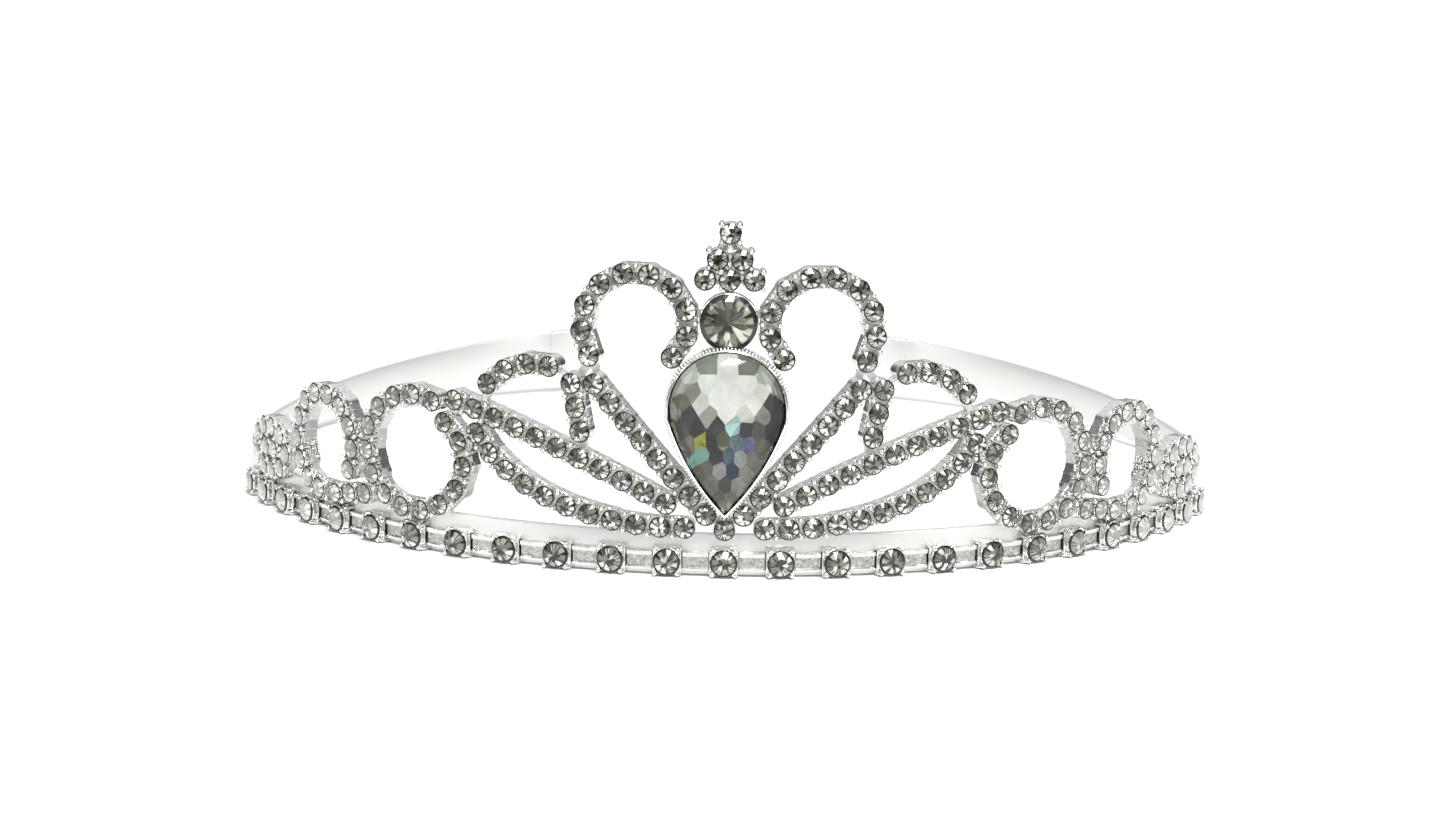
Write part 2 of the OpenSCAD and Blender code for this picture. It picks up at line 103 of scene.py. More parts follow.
def shape(piece):
    """Opens a piece in edit mode with all of it selected."""
    hold(piece)
    bpy.ops.object.mode_set(mode='EDIT')
    bpy.ops.mesh.select_all(action='SELECT')


def outward(piece):
    """Merges a piece's doubles and points its faces outwards."""
    shape(piece)
    bpy.ops.mesh.remove_doubles(threshold=1e-7)
    bpy.ops.mesh.normals_make_consistent(inside=False)
    rest()
    return piece


def pick(piece, wanted, kind='FACE'):
    """In edit mode, selects the faces or vertices whose middle passes a test, in millimetres."""
    bpy.ops.mesh.select_all(action='DESELECT')
    bpy.ops.mesh.select_mode(type=kind)
    mesh = bmesh.from_edit_mesh(piece.data)
    for part in (mesh.faces if kind == 'FACE' else mesh.verts):
        middle = part.calc_center_median() if kind == 'FACE' else part.co
        part.select_set(wanted(middle / MM, part.normal))
    mesh.select_flush_mode()
    bmesh.update_edit_mesh(piece.data)


def finish_with(piece, kind, **values):
    """Adds a modifier and applies it."""
    hold(piece)
    tool = piece.modifiers.new(kind.lower(), kind)
    for name, value in values.items():
        setattr(tool, name, value)
    bpy.ops.object.modifier_apply(modifier=tool.name)
    return piece


def smooth(piece, degrees=40):
    hold(piece)
    bpy.ops.object.shade_smooth_by_angle(angle=math.radians(degrees))
    return piece


def turned(name, sides, profile):
    """A piece drawn up from a disc through (radius, height) steps in millimetres, closed at both ends."""
    rest()
    radius, height = profile[0]
    bpy.ops.mesh.primitive_circle_add(vertices=sides, radius=radius * MM, fill_type='NGON',
                                      location=(0, 0, height * MM))
    piece = bpy.context.object
    piece.name = name
    settle(piece)
    shape(piece)
    for r, z in profile[1:]:
        bpy.ops.mesh.extrude_region_move(TRANSFORM_OT_translate={"value": (0, 0, (z - height) * MM)})
        bpy.ops.transform.resize(value=(r / radius, r / radius, 1), center_override=(0, 0, z * MM))
        radius, height = r, z
    rest()
    return outward(piece)


def block(name, size, place, ease=0.0, steps=1):
    """A rectangular piece with eased edges, in millimetres."""
    rest()
    bpy.ops.mesh.primitive_cube_add(size=1, location=[c * MM for c in place])
    piece = bpy.context.object
    piece.name = name
    piece.scale = [s * MM for s in size]
    settle(piece)
    if ease:
        shape(piece)
        bpy.ops.mesh.bevel(offset=ease * MM, segments=steps, affect='EDGES')
        rest()
    return piece


def joined(name, parts):
    """One piece made of several, with its place in its mesh."""
    hold(*parts)
    if len(parts) > 1:
        bpy.ops.object.join()
    piece = bpy.context.object
    piece.name = name
    piece.data.name = name
    return settle(piece)


def copy_at(pattern, place, lot=None):
    """A copy with a mesh of its own, standing in a frame; lot marks it with a number of its own."""
    piece = pattern.copy()
    piece.data = pattern.data.copy()
    piece.matrix_world = place
    bpy.context.collection.objects.link(piece)
    if lot is not None:
        mark = piece.data.attributes.new("lot", 'FLOAT', 'POINT')
        mark.data.foreach_set("value", [lot] * len(piece.data.vertices))
    return piece


def put_away(*patterns):
    for pattern in patterns:
        bpy.data.objects.remove(pattern, do_unlink=True)


# ---- places round the hoop ----

def stand(point):
    """The frame at a point round the hoop: x along it, y up, z outwards from the band's outer face."""
    out = Vector((point.x - axis.x, point.y - axis.y, 0)).normalized()
    up = Vector((0, 0, 1))
    along = up.cross(out)
    foot = Vector((axis.x, axis.y, point.z)) + out * band_r
    return Matrix(((along.x, up.x, out.x, foot.x), (along.y, up.y, out.y, foot.y),
                   (along.z, up.z, out.z, foot.z), (0, 0, 0, 1)))


def shift(x=0.0, y=0.0, z=0.0):
    return Matrix.Translation((x * MM, y * MM, z * MM))


def between(p, q):
    """The frame half way between two stones, x pointing from one to the other."""
    place = stand((p + q) / 2)
    way = place.inverted().to_3x3() @ (q - p)
    return place @ Matrix.Rotation(math.atan2(way.y, way.x), 4, 'Z')


def solids(node):
    """The middle of each solid of a node, in the order they were made."""
    mesh = bmesh.new()
    mesh.from_mesh(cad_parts[node].data)
    bmesh.ops.remove_doubles(mesh, verts=mesh.verts, dist=1e-6)
    seen, middles = set(), []
    for first in mesh.verts:
        if first in seen:
            continue
        seen.add(first)
        todo, found = [first], []
        while todo:
            vert = todo.pop()
            found.append(vert.co.copy())
            for edge in vert.link_edges:
                other = edge.other_vert(vert)
                if other not in seen:
                    seen.add(other)
                    todo.append(other)
        low = [min(c[k] for c in found) for k in range(3)]
        high = [max(c[k] for c in found) for k in range(3)]
        middles.append(Vector([(a + b) / 2 for a, b in zip(low, high)]))
    mesh.free()
    return middles


# ---- shader tools ----

def wire(tree, out, into):
    tree.links.new(out, into)


def new_node(tree, kind, **values):
    made = tree.nodes.new(kind)
    for name, value in values.items():
        setattr(made, name, value)
    return made


def maths(tree, what, a, b=None, c=None):
    made = new_node(tree, "ShaderNodeMath", operation=what)
    for socket, value in zip(made.inputs, (a, b, c)):
        if value is None:
            continue
        if isinstance(value, (int, float)):
            socket.default_value = value
        else:
            wire(tree, value, socket)
    return made.outputs[0]


def span(tree, value, low, high, to_low=0.0, to_high=1.0):
    """Carries a value from one span to another, eased at both ends."""
    made = new_node(tree, "ShaderNodeMapRange", interpolation_type='SMOOTHSTEP')
    wire(tree, value, made.inputs["Value"])
    for name, number in (("From Min", low), ("From Max", high), ("To Min", to_low), ("To Max", to_high)):
        if isinstance(number, (int, float)):
            made.inputs[name].default_value = number
        else:
            wire(tree, number, made.inputs[name])
    return made.outputs["Result"]


def mixed(tree, factor, a, b, blend='MIX'):
    made = new_node(tree, "ShaderNodeMix", data_type='RGBA', blend_type=blend)
    for socket, value in ((made.inputs[0], factor), (made.inputs[6], a), (made.inputs[7], b)):
        if isinstance(value, (int, float)):
            socket.default_value = value
        elif isinstance(value, tuple):
            socket.default_value = (*value, 1)
        else:
            wire(tree, value, socket)
    return made.outputs[2]


def ramp(tree, value, *stops):
    made = new_node(tree, "ShaderNodeValToRGB")
    band = made.color_ramp
    while len(band.elements) < len(stops):
        band.elements.new(0.5)
    for element, (place, colour) in zip(band.elements, stops):
        element.position = place
        element.color = (*colour, 1)
    wire(tree, value, made.inputs["Fac"])
    return made.outputs["Color"]


def noise(tree, vector, scale, detail=3.0, rough=0.5):
    made = new_node(tree, "ShaderNodeTexNoise")
    made.inputs["Scale"].default_value = scale if isinstance(scale, (int, float)) else 1.0
    made.inputs["Detail"].default_value = detail
    made.inputs["Roughness"].default_value = rough
    if not isinstance(scale, (int, float)):
        wire(tree, scale, made.inputs["Scale"])
    wire(tree, vector, made.inputs["Vector"])
    return made.outputs["Fac"]


def group(name, ins, outs):
    """A node group with named inputs and outputs, and the sockets at its two ends."""
    tree = bpy.data.node_groups.new(name, "ShaderNodeTree")
    for label, kind, value in ins:
        socket = tree.interface.new_socket(label, in_out='INPUT', socket_type=kind)
        if value is not None:
            socket.default_value = value
    for label, kind in outs:
        tree.interface.new_socket(label, in_out='OUTPUT', socket_type=kind)
    return tree, tree.nodes.new("NodeGroupInput").outputs, tree.nodes.new("NodeGroupOutput").inputs


def use(tree, which, **values):
    """Places a node group in a material, with its own values."""
    made = new_node(tree, "ShaderNodeGroup", node_tree=which)
    for name, value in values.items():
        socket = made.inputs[name.replace("_", " ")]
        if isinstance(value, (int, float)):
            socket.default_value = value
        else:
            wire(tree, value, socket)
    return made.outputs


def material(name, colour=(0.9, 0.9, 0.9), **sockets):
    made = bpy.data.materials.new(name)
    made.use_nodes = True
    made.diffuse_color = (*colour, 1)
    tree = made.node_tree
    shader = tree.nodes["Principled BSDF"]
    shader.inputs["Base Color"].default_value = (*colour, 1)
    for label, value in sockets.items():
        shader.inputs[label.replace("_", " ")].default_value = value
    return made, tree, shader


def object_place(tree):
    return tree.nodes.new("ShaderNodeTexCoord").outputs["Object"]


def dented(tree, shader, height, strength, distance):
    """Gives a finish its fine relief."""
    bump = tree.nodes.new("ShaderNodeBump")
    bump.inputs["Strength"].default_value = strength
    bump.inputs["Distance"].default_value = distance
    wire(tree, height, bump.inputs["Height"])
    wire(tree, bump.outputs["Normal"], shader.inputs["Normal"])


# ---- effects shared by the finishes ----

def plating_and_shade_effect():
    """Plated metal: fine pits and swirls in its polish, and painted shade that darkens it towards the back of
    the work.
    """
    tree, ins, outs = group("plating", [
        ("Place", 'NodeSocketVector', None), ("Grain", 'NodeSocketFloat', 2400.0),
        ("Front", 'NodeSocketFloat', 1.6), ("Dull", 'NodeSocketFloat', 0.7)],
        [("Shade", 'NodeSocketFloat'), ("Polish", 'NodeSocketFloat'), ("Height", 'NodeSocketFloat')])
    level = new_node(tree, "ShaderNodeVectorMath", operation='MULTIPLY_ADD')
    wire(tree, ins["Place"], level.inputs[0])
    level.inputs[1].default_value = (1, 1, 0)
    level.inputs[2].default_value = (0, -axis.y, 0)
    reach = new_node(tree, "ShaderNodeVectorMath", operation='LENGTH')
    wire(tree, level.outputs[0], reach.inputs[0])
    proud = maths(tree, 'MULTIPLY', maths(tree, 'SUBTRACT', reach.outputs["Value"], band_r), 1000.0)
    # Painted shade: the metal turns darker the further back it lies from the front
    painted_back_shade = span(tree, proud, 0.1, ins["Front"], ins["Dull"], 1.0)
    fine = noise(tree, ins["Place"], ins["Grain"], 4)
    broad = noise(tree, ins["Place"], 330.0, 2)
    shade = maths(tree, 'MULTIPLY', painted_back_shade, span(tree, fine, 0.35, 0.65, 0.8, 1.0))
    wire(tree, shade, outs["Shade"])
    swirls = span(tree, broad, 0.35, 0.7, 0.0, 0.07)
    pits = span(tree, fine, 0.4, 0.8, 0.0, 0.06)
    wire(tree, maths(tree, 'ADD', swirls, pits), outs["Polish"])
    wire(tree, maths(tree, 'ADD', maths(tree, 'MULTIPLY', fine, 0.4), broad), outs["Height"])
    return tree


def ray_effect():
    """The foil seen through a round stone, as painted reflections: two rings of toned facets, a dark girdle
    line and painted sparks.
    """
    tree, ins, outs = group("foil rays", [
        ("Face", 'NodeSocketVector', None), ("Lot", 'NodeSocketFloat', 0.0),
        ("Rays", 'NodeSocketFloat', 8.0), ("Middle", 'NodeSocketFloat', 0.5)],
        [("Shade", 'NodeSocketFloat'), ("Spark", 'NodeSocketFloat'), ("Rim", 'NodeSocketFloat')])
    centred = new_node(tree, "ShaderNodeVectorMath", operation='MULTIPLY_ADD')
    wire(tree, ins["Face"], centred.inputs[0])
    centred.inputs[1].default_value = (2, 2, 0)
    centred.inputs[2].default_value = (-1, -1, 0)
    reach = new_node(tree, "ShaderNodeVectorMath", operation='LENGTH')
    wire(tree, centred.outputs[0], reach.inputs[0])
    far = reach.outputs["Value"]
    parts = new_node(tree, "ShaderNodeSeparateXYZ")
    wire(tree, centred.outputs[0], parts.inputs[0])
    x, y = parts.outputs[0], parts.outputs[1]
    turn = maths(tree, 'MULTIPLY_ADD', maths(tree, 'ARCTAN2', y, x), 1 / (2 * math.pi), 0.5)
    own = maths(tree, 'FLOOR', maths(tree, 'MULTIPLY', ins["Lot"], 900.0))

    def cells(count, offset, salt):
        """Which facet of a ring a point lies in: its own tone, and its place across the facet."""
        place = maths(tree, 'MULTIPLY_ADD', turn, count, offset)
        number = maths(tree, 'FLOOR', place)
        wrapped = maths(tree, 'MODULO', number, count)
        random_tone = new_node(tree, "ShaderNodeTexWhiteNoise", noise_dimensions='2D')
        spot = new_node(tree, "ShaderNodeCombineXYZ")
        wire(tree, wrapped, spot.inputs[0])
        wire(tree, maths(tree, 'ADD', own, salt), spot.inputs[1])
        wire(tree, spot.outputs[0], random_tone.inputs["Vector"])
        across = maths(tree, 'ABSOLUTE', maths(tree, 'SUBTRACT', maths(tree, 'FRACT', place), 0.5))
        return random_tone.outputs["Value"], maths(tree, 'MULTIPLY', across, 2.0), wrapped

    twice = maths(tree, 'MULTIPLY', ins["Rays"], 2.0)
    outer_tone, outer_across, number = cells(twice, 0.0, 3.0)
    inner_tone, inner_across, _ = cells(ins["Rays"], 0.5, 57.0)
    every_other = maths(tree, 'MODULO', number, 2.0)
    spike_edge = maths(tree, 'MULTIPLY_ADD', far, 0.9, -0.1)
    spike = span(tree, maths(tree, 'SUBTRACT', outer_across, spike_edge), -0.12, 0.12)
    outer = maths(tree, 'ADD', maths(tree, 'MULTIPLY', outer_tone, 0.55),
                  maths(tree, 'MULTIPLY', maths(tree, 'MAXIMUM', every_other, spike), 0.42))
    edge = maths(tree, 'MULTIPLY_ADD', inner_across, -0.2, maths(tree, 'ADD', ins["Middle"], 0.1))
    inside_star = span(tree, maths(tree, 'SUBTRACT', far, edge), 0.03, -0.03)
    core = maths(tree, 'MULTIPLY_ADD', inner_tone, 0.95, 0.0)
    pattern = mixed(tree, inside_star, outer, core)
    # Painted light: the lower half is painted lighter, as light from the foil's far side, and a painted dark
    # patch sits just under the centre
    low_light = span(tree, y, 0.05, -0.75, 0.0, 0.22)
    off = maths(tree, 'ADD', y, 0.16)
    squares = maths(tree, 'ADD', maths(tree, 'MULTIPLY', x, x), maths(tree, 'MULTIPLY', off, off))
    patch = maths(tree, 'ADD', maths(tree, 'SQRT', squares), maths(tree, 'MULTIPLY', inner_tone, 0.12))
    dark = span(tree, patch, 0.16, 0.3, 0.12, 1.0)
    # Painted light: each stone is painted lighter on one side than the other
    painted_side_light = maths(tree, 'MULTIPLY', maths(tree, 'MULTIPLY', x, maths(tree, 'SINE', own)), 0.2)
    lit = maths(tree, 'ADD', maths(tree, 'MULTIPLY_ADD', pattern, 0.85, low_light), painted_side_light)
    shade = maths(tree, 'MULTIPLY', lit, dark)
    rim = span(tree, far, 0.86, 0.91)
    wire(tree, maths(tree, 'MULTIPLY', shade, maths(tree, 'SUBTRACT', 1.0, rim)), outs["Shade"])
    wire(tree, span(tree, inner_tone, 0.955, 0.96), outs["Spark"])
    wire(tree, rim, outs["Rim"])
    return tree


PLATING_AND_SHADE = plating_and_shade_effect()
RAYS = ray_effect()


# ---- finishes ----

def silver_plate(name, front=1.2, shadowed=0.86, tone=(0.98, 0.975, 0.955), rough=0.06, depth=0.0001):
    """Bright plated silver with painted shade that darkens it further back than front, in millimetres before
    the band's face.
    """
    finish, tree, shader = material(name, tone, Metallic=1.0)
    place = object_place(tree)
    plating = use(tree, PLATING_AND_SHADE, Place=place, Grain=2600.0, Front=front, Dull=shadowed)
    shadow = tuple(c * 0.16 for c in tone)
    # Painted shade and grain: the plating's shade darkens the silver towards the back
    wire(tree, mixed(tree, plating["Shade"], shadow, tone), shader.inputs["Base Color"])
    wire(tree, maths(tree, 'ADD', plating["Polish"], rough), shader.inputs["Roughness"])
    dented(tree, shader, plating["Height"], 0.5, depth)
    return finish


def satin_band():
    """Brushed steel strip: soft streaks across the band's width, faint scuffs and cloudy plating."""
    tone = (0.46, 0.465, 0.44)
    finish, tree, shader = material("satin_band", tone, Metallic=0.6)
    place = object_place(tree)
    stretch = new_node(tree, "ShaderNodeMapping")
    stretch.inputs["Scale"].default_value = (1.0, 1.0, 0.05)
    wire(tree, place, stretch.inputs["Vector"])
    streaks = noise(tree, stretch.outputs["Vector"], 700.0, 5, 0.6)
    broad = noise(tree, stretch.outputs["Vector"], 120.0, 3)
    clouds = noise(tree, place, 60.0, 3)
    scuffs = noise(tree, place, 3800.0, 4, 0.7)
    worn = ramp(tree, maths(tree, 'MULTIPLY_ADD', streaks, 0.4, maths(tree, 'MULTIPLY', broad, 0.6)),
                (0.33, (0.38, 0.385, 0.36)), (0.5, tone), (0.68, (0.58, 0.585, 0.56)))
    wire(tree, mixed(tree, span(tree, clouds, 0.35, 0.7, 0.0, 0.5), worn, (0.6, 0.605, 0.58)),
         shader.inputs["Base Color"])
    brushed = span(tree, streaks, 0.3, 0.7, 0.34, 0.44)
    rubbed = span(tree, scuffs, 0.5, 0.8, 0.0, 0.1)
    wire(tree, maths(tree, 'ADD', brushed, rubbed), shader.inputs["Roughness"])
    dented(tree, shader, maths(tree, 'MULTIPLY_ADD', scuffs, 0.35, streaks), 0.2, 0.00004)
    return finish


def panel_metal():
    """The matt, grainy plates between the rim cups."""
    finish, tree, shader = material("panel_metal", (0.8, 0.79, 0.78), Metallic=1.0)
    place = object_place(tree)
    # Painted shade: the plates turn darker towards the back
    plating = use(tree, PLATING_AND_SHADE, Place=place, Grain=1500.0, Front=0.6, Dull=0.75)
    speckle = noise(tree, place, 2800.0, 3, 0.8)
    tone = ramp(tree, speckle, (0.36, (0.3, 0.3, 0.28)), (0.5, (0.56, 0.555, 0.53)),
                (0.66, (0.86, 0.85, 0.83)))
    wire(tree, mixed(tree, plating["Shade"], (0.3, 0.3, 0.3), tone), shader.inputs["Base Color"])
    wire(tree, maths(tree, 'ADD', plating["Polish"], 0.25), shader.inputs["Roughness"])
    dented(tree, shader, speckle, 0.5, 0.00008)
    return finish


def solder_metal():
    """Grey solder with a lumpy, half-matt skin."""
    finish, tree, shader = material("solder_metal", (0.7, 0.7, 0.69), Metallic=1.0)
    place = object_place(tree)
    lumps = noise(tree, place, 900.0, 4, 0.6)
    tone = ramp(tree, lumps, (0.3, (0.45, 0.45, 0.45)), (0.6, (0.78, 0.78, 0.77)))
    wire(tree, tone, shader.inputs["Base Color"])
    wire(tree, span(tree, lumps, 0.3, 0.7, 0.25, 0.5), shader.inputs["Roughness"])
    dented(tree, shader, lumps, 0.6, 0.0002)
    return finish


def foil_finish(name, rays, middle, dark, mid, light, spark=0.5):
    """A cut stone over foil, its wedges painted reflections of the foil's facets. Its wedges follow the
    stone's own face map, and each stone has its own lot.
    """
    finish, tree, shader = material(name, mid, Metallic=0.2, Roughness=0.09, IOR=1.5,
                                    Coat_Weight=1.0, Coat_Roughness=0.02, Coat_IOR=1.55)
    face = new_node(tree, "ShaderNodeUVMap", uv_map="face").outputs["UV"]
    lot = new_node(tree, "ShaderNodeAttribute", attribute_name="lot").outputs["Fac"]
    foil = use(tree, RAYS, Face=face, Lot=lot, Rays=rays, Middle=middle)
    deepest = tuple(c * 0.3 for c in dark)
    tones = ramp(tree, foil["Shade"], (0.0, deepest), (0.3, dark), (0.5, mid), (0.66, mid), (0.84, light))
    hue = ramp(tree, lot, (0.0, (0.75, 0.95, 0.98)), (0.35, (0.98, 0.98, 0.98)), (0.6, (0.95, 0.93, 0.6)),
               (0.8, (0.8, 0.8, 0.98)), (1.0, (0.98, 0.98, 0.98)))
    # Painted light: stones towards the ends are painted paler, as if they faced the side windows
    away = new_node(tree, "ShaderNodeSeparateXYZ")
    wire(tree, object_place(tree), away.inputs[0])
    paler = span(tree, maths(tree, 'ABSOLUTE', away.outputs[0]), 0.03, 0.06, 0.0, 0.5)
    within_rim = maths(tree, 'SUBTRACT', 1.0, foil["Rim"])
    tones = mixed(tree, maths(tree, 'MULTIPLY', paler, within_rim), tones, light)
    in_star = maths(tree, 'MULTIPLY', foil["Spark"], span(tree, foil["Shade"], 0.5, 0.75))
    wire(tree, mixed(tree, maths(tree, 'MULTIPLY', in_star, spark), tones, hue), shader.inputs["Base Color"])
    wire(tree, span(tree, foil["Rim"], 0.0, 1.0, 0.06, 0.3), shader.inputs["Roughness"])
    return finish


def painted_foil():
    """The foil under a large cut stone: each facet has its own painted reflection, with a soft painted sweep
    of light across it.
    """
    finish, tree, shader = material("pear_foil", (0.6, 0.6, 0.58), Metallic=1.0, Roughness=0.1)
    place = object_place(tree)
    painted_reflection = new_node(tree, "ShaderNodeAttribute", attribute_name="painted_reflection").outputs["Color"]
    sweep = noise(tree, place, 420.0, 2)
    fine = noise(tree, place, 2600.0, 3)
    # Painted light: a soft sweep of light across the foil
    light = ramp(tree, sweep, (0.3, (0.78, 0.79, 0.78)), (0.65, (1, 1, 1)))
    wire(tree, mixed(tree, 1.0, painted_reflection, light, 'MULTIPLY'), shader.inputs["Base Color"])
    wire(tree, span(tree, fine, 0.3, 0.7, 0.08, 0.2), shader.inputs["Roughness"])
    return finish


def clear_crystal():
    """Clear cut glass with a trace of haze."""
    finish, tree, shader = material("clear_crystal", (0.97, 0.985, 0.975), Roughness=0.0, IOR=1.4,
                                    Transmission_Weight=1.0)
    place = object_place(tree)
    haze = noise(tree, place, 700.0, 2)
    wire(tree, span(tree, haze, 0.45, 0.8, 0.0, 0.03), shader.inputs["Roughness"])
    tone = ramp(tree, haze, (0.3, (0.95, 0.975, 0.96)), (0.7, (0.99, 0.995, 0.99)))
    wire(tree, tone, shader.inputs["Base Color"])
    return finish


SILVER = silver_plate("silver_plate")
# Painted shade: the pear's silver darkens over a deeper span back from its front
DEEP_SILVER = silver_plate("pear_silver", front=2.6, shadowed=0.7)
# Painted shade: a darker silver for the hollow in front of the walls between stones
SHADED_RECESS = silver_plate("shaded_recess_silver", tone=(0.62, 0.615, 0.58), rough=0.15, depth=0.0002)
SATIN = satin_band()
PANEL = panel_metal()
SOLDER = solder_metal()
STONE = foil_finish("small_rhinestone", 8.0, 0.5, (0.014, 0.0135, 0.010), (0.17, 0.165, 0.132),
                    (0.9, 0.9, 0.86))
RIM_STONE = foil_finish("rim_rhinestone", 8.0, 0.46, (0.015, 0.0145, 0.011), (0.18, 0.175, 0.14),
                        (0.9, 0.9, 0.86))
ROUND_STONE = foil_finish("round_rhinestone", 13.0, 0.6, (0.035, 0.035, 0.024), (0.2, 0.2, 0.14),
                          (0.7, 0.71, 0.62), 0.2)
FOIL = painted_foil()
CRYSTAL = clear_crystal()


def dress(piece, finish, node):
    """Gives a piece its finish, unless its parts brought their own, hangs it on the root and hides the CAD
    node it stands in for.
    """
    if not piece.data.materials:
        piece.data.materials.append(finish)
    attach(piece, "root")
    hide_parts(node)
    return piece


# ---- patterns: each small shape is made once ----

def map_face(stone, r):
    """Lays a stone's face map: the square round its outline, seen from in front."""
    face = stone.data.uv_layers.new(name="face")
    for loop in stone.data.loops:
        place = stone.data.vertices[loop.vertex_index].co / (2 * r * MM)
        face.data[loop.index].uv = (place.x + 0.5, place.y + 0.5)
    return stone


def cut_stone(name, r, girdle_z, back_z):
    """A faceted chaton: a point, a girdle of sixteen, star facets and an eight-sided table."""
    rest()
    bpy.ops.mesh.primitive_circle_add(vertices=16, radius=r * MM, location=(0, 0, girdle_z * MM))
    stone = bpy.context.object
    parts = [stone]
    rings = ((16, r, girdle_z + 0.1 * r, 0), (8, r * 0.55, girdle_z + 0.42 * r, math.pi / 8),
             (8, r * 0.12, back_z, 0))
    for sides, radius, z, spin in rings:
        bpy.ops.mesh.primitive_circle_add(vertices=sides, radius=radius * MM, location=(0, 0, z * MM),
                                          rotation=(0, 0, spin))
        parts.append(bpy.context.object)
    stone = joined(name, parts)
    shape(stone)
    bpy.ops.mesh.convex_hull(join_triangles=True)
    rest()
    return map_face(outward(stone), r)


def make_small_cup(back):
    """A round cup from back outwards, with a groove round its waist."""
    cup = turned("small_cup", 16, [
        (CUP_R, back), (CUP_R, 0.7), (CUP_R - 0.05, 0.82), (CUP_R, 0.96), (CUP_R, 1.4),
        (CUP_R - 0.05, 1.52), (STONE_R, 1.42)])
    return smooth(cup, 50)


def make_claw(back, tall=CUP_DEEP, r=CLAW_R):
    """A waisted claw that ends in a bead."""
    claw = turned("claw", 8, [
        (r * 0.85, back), (r * 0.85, 0.5), (r * 1.05, 0.68), (r * 0.8, 0.88), (r * 0.8, tall * 0.84),
        (r, tall), (r * 0.82, tall + r * 0.62), (r * 0.35, tall + r)])
    return smooth(claw, 80)


def make_saddle(back):
    """The wall between two neighbouring cups: bright at its sides, painted darker in the hollow in front, as
    shade.
    """
    wall_piece = block("saddle", (SADDLE_LONG, SADDLE_WIDE, SADDLE_TOP - back),
                       (0, 0, (SADDLE_TOP + back) / 2), 0.1)
    shape(wall_piece)
    bpy.ops.mesh.subdivide(number_cuts=2)
    pick(wall_piece, lambda p, n: p.z > SADDLE_TOP - 0.05 and abs(p.y) < 0.5, 'VERT')
    bpy.ops.transform.translate(value=(0, 0, -0.2 * MM))
    rest()
    wall_piece.data.materials.append(SILVER)
    wall_piece.data.materials.append(SHADED_RECESS)
    # Painted shade: the front faces of the hollow take the darker silver
    for face in wall_piece.data.polygons:
        face.material_index = 1 if face.normal.z > 0.5 else 0
    parts = [wall_piece]
    # Grains raised along both edges of the hollow
    for x in (-0.5, 0.0, 0.5):
        for y in (-1.1, 1.1):
            grain = turned("grain", 6, [(0.09, 0.6), (0.14, 0.85), (0.12, 1.05), (0.05, 1.12)])
            grain.location = (x * MM, y * MM, 0)
            grain.data.materials.append(SILVER)
            parts.append(settle(grain))
    return smooth(joined("saddle", parts), 40)


def make_rim_cup():
    """A square cup: a block with scooped sides, a round collar and a claw bent in over each corner."""
    body = block("rim_block", (2 * RIM_HALF, 2 * RIM_HALF, RIM_BLOCK_TOP), (0, 0, RIM_BLOCK_TOP / 2))
    shape(body)
    pick(body, lambda p, n: p.z > RIM_BLOCK_TOP - 0.05)
    bpy.ops.mesh.inset(thickness=0.12 * MM)
    bpy.ops.transform.translate(value=(0, 0, 0.06 * MM))
    bpy.ops.mesh.select_all(action='DESELECT')
    for way in ((1, 0), (-1, 0), (0, 1), (0, -1)):
        pick(body, lambda p, n: n.x * way[0] + n.y * way[1] > 0.9)
        bpy.ops.mesh.inset(thickness=0.3 * MM)
        bpy.ops.transform.translate(value=(-way[0] * 0.14 * MM, -way[1] * 0.14 * MM, 0))
    bpy.ops.mesh.select_all(action='SELECT')
    bpy.ops.mesh.normals_make_consistent(inside=False)
    rest()
    finish_with(body, 'BEVEL', width=0.06 * MM, segments=1, limit_method='ANGLE')
    collar = turned("rim_collar", 24, [
        (1.62, 0.8), (1.66, 1.3), (1.64, 1.48), (1.58, 1.56), (1.51, 1.5), (1.45, 1.3)])
    parts = [body, collar]
    for x in (-1, 1):
        for y in (-1, 1):
            claw = turned("corner_claw", 10, [
                (0.26, 0.0), (0.26, 0.9), (0.22, 1.15), (0.25, 1.4), (0.3, 1.58), (0.26, 1.78), (0.12, 1.88)])
            shape(claw)
            pick(claw, lambda p, n: p.z > 1.3, 'VERT')
            bpy.ops.transform.translate(value=(-x * 0.13 * MM, -y * 0.13 * MM, 0))
            rest()
            claw.location = (x * (RIM_HALF - 0.27) * MM, y * (RIM_HALF - 0.27) * MM, 0)
            settle(claw)
            parts.append(claw)
        ring = turned("eyelet", 10, [(0.34, 0.0), (0.34, 0.12), (0.2, 0.14), (0.16, 0.02)])
        hold(ring)
        ring.rotation_euler = (-math.pi / 2, 0, 0)
        ring.location = (x * 0.78 * MM, (RIM_HALF - 0.14) * MM, 0.48 * MM)
        settle(ring)
        parts.append(ring)
    return smooth(joined("rim_cup", parts), 40)


